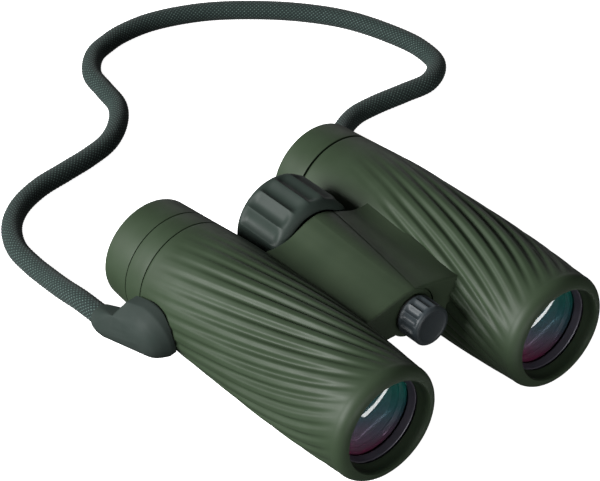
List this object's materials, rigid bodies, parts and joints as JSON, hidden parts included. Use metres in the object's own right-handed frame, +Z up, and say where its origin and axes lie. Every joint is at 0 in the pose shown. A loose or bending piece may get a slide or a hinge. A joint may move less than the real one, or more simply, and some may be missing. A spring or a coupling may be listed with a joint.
{
  "type": "binoculars",
  "caption": "Compact roof prism binoculars with ribbed rubber armour, central focus wheel, folding bridge and a rope wrist strap on side clips.",
  "frame": {"origin": "under the middle of the object, on the surface that both barrels lie on", "axes": "+Y along the barrels towards the eyes, +Z up, +X towards the user's left barrel"},
  "size_m": [0.2097, 0.2667, 0.0471],
  "materials": {
    "armour": "matte olive rubber",
    "bridge_skin": "matte olive",
    "wheel_rubber": "matte dark grey-green",
    "clip_plastic": "soft matte grey",
    "dark_plastic": "matte dark grey",
    "black_plastic": "matte black",
    "black_metal": "black anodised",
    "alloy": "satin",
    "brass": "satin",
    "seal_rubber": "matte black",
    "coated_glass": "polished with green and purple coating",
    "clear_glass": "polished",
    "rope": "braided"
  },
  "bodies": {
    "right_barrel": {"right_armour": "armour", "right_barrel_body": "alloy", "right_strap_lug": "dark_plastic", "right_strap_clip": "clip_plastic", "right_bridge_cover": "bridge_skin", "right_retaining_ring": "black_metal", "right_sealing_ring": "seal_rubber", "right_objective_cell": "black_metal", "right_objective_crown": "coated_glass", "right_objective_flint": "coated_glass", "right_half_penta_prism": "clear_glass", "right_roof_prism": "clear_glass", "right_prism_cage": "black_metal", "right_eyepiece_housing": "black_plastic", "right_field_lens": "clear_glass", "right_eye_lens": "coated_glass", "hinge_shaft": "alloy", "rear_hinge_bush": "brass", "tripod_insert": "brass", "strap_rope": "rope"},
    "left_barrel": {"left_armour": "armour", "left_barrel_body": "alloy", "left_strap_lug": "dark_plastic", "left_strap_clip": "clip_plastic", "left_bridge_cover": "bridge_skin", "left_retaining_ring": "black_metal", "left_sealing_ring": "seal_rubber", "left_objective_cell": "black_metal", "left_objective_crown": "coated_glass", "left_objective_flint": "coated_glass", "left_half_penta_prism": "clear_glass", "left_roof_prism": "clear_glass", "left_prism_cage": "black_metal", "left_eyepiece_housing": "black_plastic", "left_field_lens": "clear_glass", "left_eye_lens": "coated_glass", "front_hinge_bush": "brass"},
    "focus_wheel": {"focus_wheel_core": "black_plastic", "focus_wheel_grip": "wheel_rubber", "focus_wheel_cap": "dark_plastic"},
    "focus_carriage": {"focus_rod": "alloy", "focus_yoke": "alloy", "right_focus_cell": "alloy", "right_focus_lens": "clear_glass"},
    "left_focus_carriage": {"left_focus_arm": "alloy", "left_focus_cell": "alloy", "left_focus_lens": "clear_glass"},
    "diopter_ring": {"diopter_ring": "armour"},
    "diopter_carriage": {"diopter_cell": "alloy", "diopter_lens": "clear_glass"},
    "right_eyecup_lift": {"right_eyecup_click_ring": "brass"},
    "right_eyecup": {"right_eyecup_sleeve": "black_plastic", "right_eyecup": "armour"},
    "left_eyecup_lift": {"left_eyecup_click_ring": "brass"},
    "left_eyecup": {"left_eyecup_sleeve": "black_plastic", "left_eyecup": "armour"},
    "tripod_cap_lift": {"tripod_cap_washer": "seal_rubber"},
    "tripod_cap": {"tripod_cap": "wheel_rubber"}
  },
  "joints": [
    {"name": "eye_spacing_fold", "type": "hinge", "parent": "right_barrel", "child": "left_barrel", "pos_m": [0, -0.00568, 0.0304], "axis": [0, 1, 0], "range_deg": [-13, 54], "deforming": ["strap_rope"]},
    {"name": "focus_turn", "type": "hinge", "parent": "right_barrel", "child": "focus_wheel", "pos_m": [0, 0.02933, 0.0304], "axis": [0, 1, 0], "range_deg": [-225, 225]},
    {"name": "focus_travel", "type": "slide", "parent": "right_barrel", "child": "focus_carriage", "axis": [0, 1, 0], "range_m": [-0.003, 0.003]},
    {"name": "left_focus_travel", "type": "slide", "parent": "left_barrel", "child": "left_focus_carriage", "axis": [0, 1, 0], "range_m": [-0.003, 0.003]},
    {"name": "diopter_turn", "type": "hinge", "parent": "right_barrel", "child": "diopter_ring", "pos_m": [-0.036, 0.04333, 0.0218], "axis": [0, 1, 0], "range_deg": [-40, 40]},
    {"name": "diopter_travel", "type": "slide", "parent": "right_barrel", "child": "diopter_carriage", "axis": [0, 1, 0], "range_m": [-0.0012, 0.0012]},
    {"name": "right_eyecup_rise", "type": "slide", "parent": "right_barrel", "child": "right_eyecup_lift", "axis": [0, 1, 0], "range_m": [0, 0.008]},
    {"name": "right_eyecup_turn", "type": "hinge", "parent": "right_eyecup_lift", "child": "right_eyecup", "pos_m": [-0.036, 0.05133, 0.0218], "axis": [0, 1, 0], "range_deg": [0, 270]},
    {"name": "left_eyecup_rise", "type": "slide", "parent": "left_barrel", "child": "left_eyecup_lift", "axis": [0, 1, 0], "range_m": [0, 0.008]},
    {"name": "left_eyecup_turn", "type": "hinge", "parent": "left_eyecup_lift", "child": "left_eyecup", "pos_m": [0.036, 0.05133, 0.0218], "axis": [0, -1, 0], "range_deg": [0, 270]},
    {"name": "tripod_cap_travel", "type": "slide", "parent": "right_barrel", "child": "tripod_cap_lift", "axis": [0, -1, 0], "range_m": [0, 0.00628]},
    {"name": "tripod_cap_turn", "type": "hinge", "parent": "tripod_cap_lift", "child": "tripod_cap", "pos_m": [0, -0.03567, 0.0304], "axis": [0, -1, 0], "range_deg": [0, 1800]}
  ],
  "couplings": [
    {"joint": "focus_travel", "follows": "focus_turn", "m_per_rad": 0.00076},
    {"joint": "left_focus_travel", "follows": "focus_turn", "m_per_rad": 0.00076},
    {"joint": "diopter_travel", "follows": "diopter_turn", "m_per_rad": 0.0017},
    {"joint": "right_eyecup_rise", "follows": "right_eyecup_turn", "m_per_rad": 0.00169},
    {"joint": "left_eyecup_rise", "follows": "left_eyecup_turn", "m_per_rad": 0.00169},
    {"joint": "tripod_cap_turn", "follows": "tripod_cap_travel", "rad_per_m": 5000}
  ]
}
